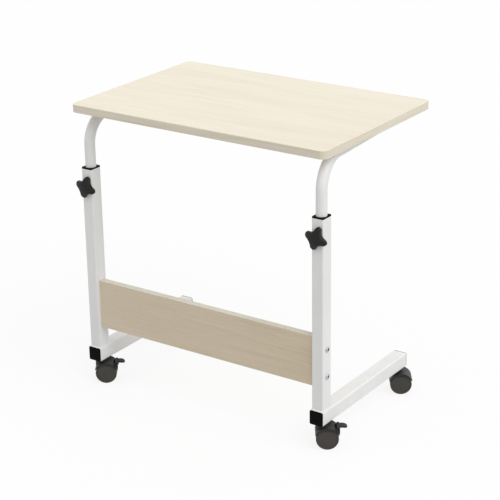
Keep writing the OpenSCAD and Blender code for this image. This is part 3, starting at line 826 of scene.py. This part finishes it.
def wheel(castor, side):
    node = castor + "_" + side + "_wheel"
    joint = joints[node + "_roll"]
    centre = Vector(joint["pos_m"])
    axis = Vector(joint["axis"]).normalized()
    spokes = [vert.co - centre for vert in cadNodes[node].data.vertices]
    reach = [spoke.dot(axis) for spoke in spokes]
    outward = 1.0 if max(reach) > -min(reach) else -1.0
    inner = min(abs(value) for value in reach)
    outer = max(abs(value) for value in reach)
    radius = max((spoke - axis * spoke.dot(axis)).length for spoke in spokes)
    bm = bmesh.new()
    wheelProfile(bm, radius, inner, outer)
    fullTurn(bm, castorLook["turnSteps"])
    turned = Matrix.Translation(centre) @ axisTurn(axis * outward)
    bmesh.ops.transform(bm, matrix=turned, verts=bm.verts)
    finishPiece(castor + "_" + side + "_disc", bm, wheelPlastic, node, "wheel_plastic", node)


def hood(castor):
    node = castor + "_hood"
    bm = mouldedCopy(node, castorLook)
    finishPiece(castor + "_wheel_hood", bm, hoodPlastic, castor + "_castor", "hood_plastic", node)


# brake pedals are moulded like the hoods, and the tongue droops towards its tip
pedalLook = {"straight": 0.007, "droop": 5.0}


def pedal(castor):
    node = castor + "_brake_pedal"
    pin = Vector(joints[castor + "_brake_press"]["pos_m"])
    lever = pin - Vector(joints[castor + "_swivel"]["pos_m"])
    outward = Vector((lever.x, lever.y, 0.0)).normalized()
    bm = mouldedCopy(node, castorLook)
    for vert in bm.verts:
        run = max((vert.co - pin).dot(outward) - pedalLook["straight"], 0.0)
        vert.co.z -= pedalLook["droop"] * run ** 2
    finishPiece(castor + "_foot_pedal", bm, hoodPlastic, castor + "_brake", "hood_plastic", node)


for castor in castors:
    hood(castor)
    for side in wheelSides:
        wheel(castor, side)
for castor in brakedCastors:
    pedal(castor)
print("castors made")

# the steel pieces that stay as they come
steelNodes = ["top_inserts", "panel_inserts", "stem_nuts"]
steelNodes += [side + "_" + part for side in sides for part in ("clamp_nut", "knob_stud")]
steelNodes += [castor + "_" + part for castor in castors for part in ("stem", "axle")]
for node in steelNodes:
    dress(node, zincPlate)
for castor in brakedCastors:
    dress(castor + "_brake_pin", blackSteel)
print("steel pieces dressed")

# floor, light and camera
floorLook = {"size": 14.0, "seen": (0.95, 0.95, 0.95, 1.0), "bounce": (0.5, 0.5, 0.5, 1.0),
             "white": 0.85, "matt": {"Roughness": 0.9, "Specular IOR Level": 0.0}}


def seenDirectly(owner):
    # 1 for what the camera sees itself or in a gloss or a glass, 0 for light on the object
    rays = addNode(owner, "ShaderNodeLightPath", {}).outputs
    either = combine(owner, rays["Is Camera Ray"], rays["Is Glossy Ray"], "MAXIMUM")
    return combine(owner, either, rays["Is Transmission Ray"], "MAXIMUM")


def floorMaterial():
    # the floor keeps its shadow: the camera sees it mostly plain white, and it throws less light up
    look = floorLook
    material, shader = startMaterial("pale_floor", look["matt"])
    seen = seenDirectly(material)
    setSockets(material, shader, {"Base Color": blend(material, seen, look["bounce"], look["seen"])})
    glow = addNode(material, "ShaderNodeEmission", {"Strength": 1.0}).outputs["Emission"]
    share = remap(material, seen, (0.0, 1.0), (0.0, look["white"]))
    mixed = addNode(material, "ShaderNodeMixShader", {0: share, 1: shader.outputs["BSDF"], 2: glow})
    output = material.node_tree.nodes["Material Output"]
    setSockets(material, output, {"Surface": mixed.outputs[0]})
    return material


def floor():
    bm = bmesh.new()
    bmesh.ops.create_grid(bm, x_segments=1, y_segments=1, size=floorLook["size"])
    mesh = meshFrom("floor", bm)
    mesh.materials.append(floorMaterial())
    sheet = inScene("floor", mesh)


# an even sky and one broad soft key from the right, high up
lightLook = {"sky": 0.70, "skyColour": (1.0, 1.0, 1.0, 1.0), "keyStrength": 1.28, "keySpread": 50.0,
             "keyAzimuth": 80.0, "keyElevation": 48.0}


def aimed(azimuth, elevation):
    # 0, 0 looks along +Y from the front
    return (Matrix.Rotation(math.radians(azimuth), 4, "Z")
            @ Matrix.Rotation(math.radians(90 - elevation), 4, "X"))


def skyLight():
    world = bpy.data.worlds.new("soft_sky")
    bpy.context.scene.world = world
    world.use_nodes = True
    strength = remap(world, seenDirectly(world), (0.0, 1.0), (lightLook["sky"], 1.0))
    background = world.node_tree.nodes["Background"]
    setSockets(world, background, {"Color": lightLook["skyColour"], "Strength": strength})


def keyLight():
    lamp = bpy.data.lights.new("key_light", "SUN")
    lamp.energy = lightLook["keyStrength"]
    lamp.angle = math.radians(lightLook["keySpread"])
    holder = inScene("key_light", lamp)
    holder.matrix_world = aimed(lightLook["keyAzimuth"], lightLook["keyElevation"])


# the camera looks from the right of the front, a little from above
cameraLook = {"azimuth": 34.70, "elevation": 21.16, "roll": -0.916, "lens": 117.0, "sensor": 36.0,
              "target": (0.0170, -0.0336, 0.3120), "distance": 3.318}


def camera():
    look = cameraLook
    lens = bpy.data.cameras.new("camera")
    lens.lens = look["lens"]
    lens.sensor_width = look["sensor"]
    holder = inScene("camera", lens)
    roll = Matrix.Rotation(math.radians(look["roll"]), 4, "Z")
    turn = aimed(look["azimuth"], look["elevation"]) @ roll
    back = turn @ Vector((0.0, 0.0, look["distance"]))
    holder.matrix_world = Matrix.Translation(Vector(look["target"]) + back) @ turn
    bpy.context.scene.camera = holder


floor()
skyLight()
keyLight()
camera()
bpy.context.scene.view_settings.view_transform = "Standard"
print("floor, light and camera set")
